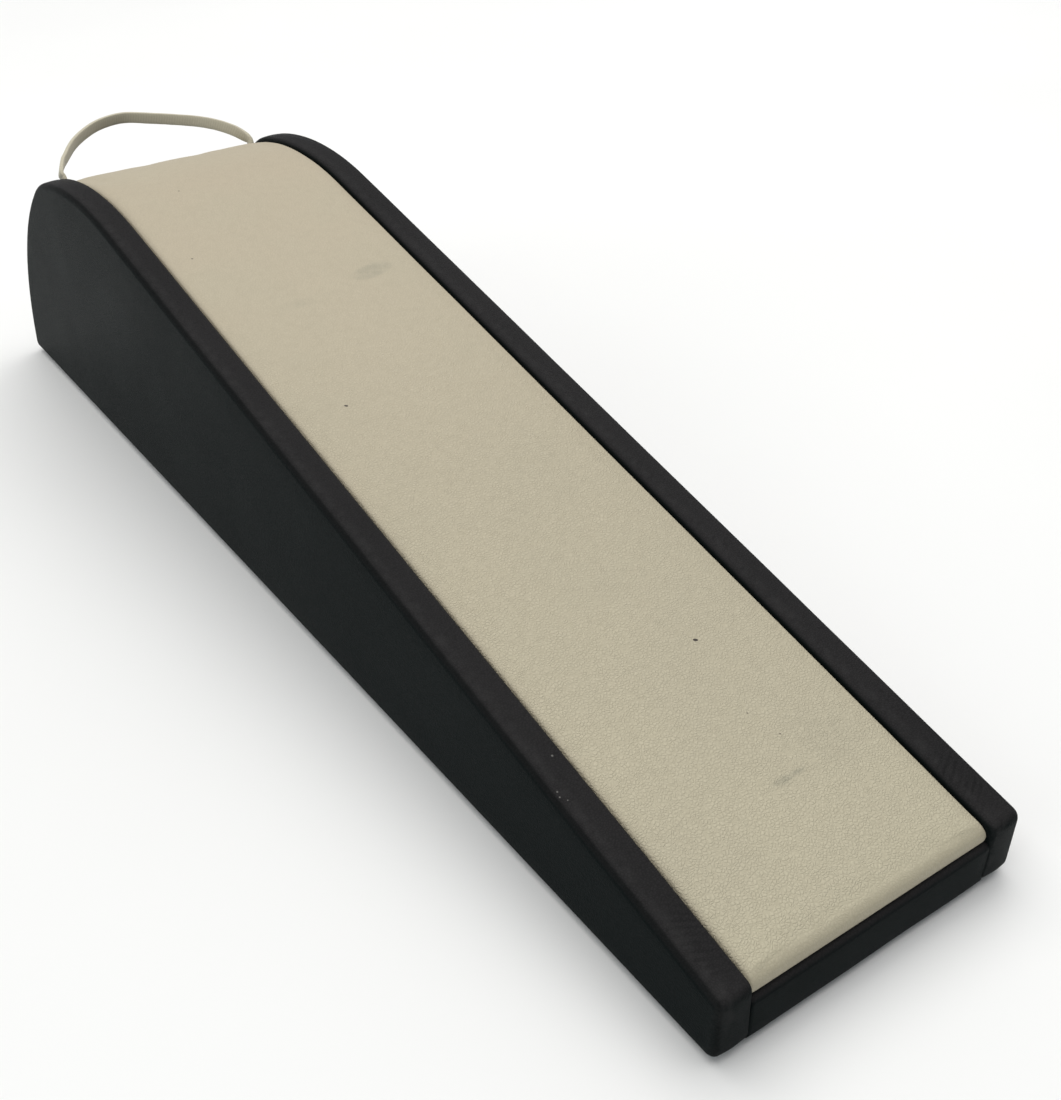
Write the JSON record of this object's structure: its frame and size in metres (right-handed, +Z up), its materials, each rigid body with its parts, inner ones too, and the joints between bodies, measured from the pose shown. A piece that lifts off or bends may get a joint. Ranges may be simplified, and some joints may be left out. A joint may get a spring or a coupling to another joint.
{
  "type": "bracelet display ramp",
  "caption": "Free-standing wedge-shaped bracelet or watch display ramp with black side cheeks, a cream padded insert and an elastic retaining loop.",
  "frame": {"origin": "middle of the ramp's footprint, on the surface that its felt base stands on", "axes": "+X to the right across the width, +Y from the low toe to the crest and back, +Z up"},
  "size_m": [0.0542, 0.233, 0.0515],
  "materials": {
    "black_leatherette": "fine-grained black leatherette, low satin sheen",
    "cream_leatherette": "matt cream leatherette with a soft pebble grain",
    "cream_elastic": "ribbed flat woven elastic",
    "mdf": "raw medium-density fibreboard",
    "pine": "planed softwood",
    "card": "grey-brown backing card",
    "foam": "thin closed-cell foam sheet",
    "felt": "black felt",
    "steel": "bright steel wire"
  },
  "bodies": {
    "ramp": {"back_cover": "black_leatherette", "base_board": "mdf", "base_brad_1": "steel", "base_brad_2": "steel", "base_brad_3": "steel", "base_brad_4": "steel", "base_brad_5": "steel", "base_brad_6": "steel", "base_felt": "felt", "crest_block": "pine", "front_cross_rib": "pine", "insert_board": "card", "insert_cover": "cream_leatherette", "insert_foam": "foam", "left_cheek_board": "mdf", "left_cheek_brad_1": "steel", "left_cheek_brad_2": "steel", "left_cheek_brad_3": "steel", "left_cheek_brad_4": "steel", "left_cheek_brad_5": "steel", "left_cheek_cover": "black_leatherette", "left_elastic_staple": "steel", "left_elastic_tail": "cream_elastic", "middle_cross_rib": "pine", "ramp_board": "mdf", "rear_cross_rib": "pine", "right_cheek_board": "mdf", "right_cheek_brad_1": "steel", "right_cheek_brad_2": "steel", "right_cheek_brad_3": "steel", "right_cheek_brad_4": "steel", "right_cheek_brad_5": "steel", "right_cheek_cover": "black_leatherette", "right_elastic_staple": "steel", "right_elastic_tail": "cream_elastic", "toe_block": "pine", "toe_cover": "black_leatherette"},
    "loop": {"elastic_loop": "cream_elastic"}
  },
  "joints": [
    {"name": "loop_swing", "type": "hinge", "parent": "ramp", "child": "loop", "pos_m": [0, 0.09309, 0.04628], "axis": [1, 0, 0], "range_deg": [-52, 120], "stiffness_Nm_per_rad": 0.0004}
  ]
}
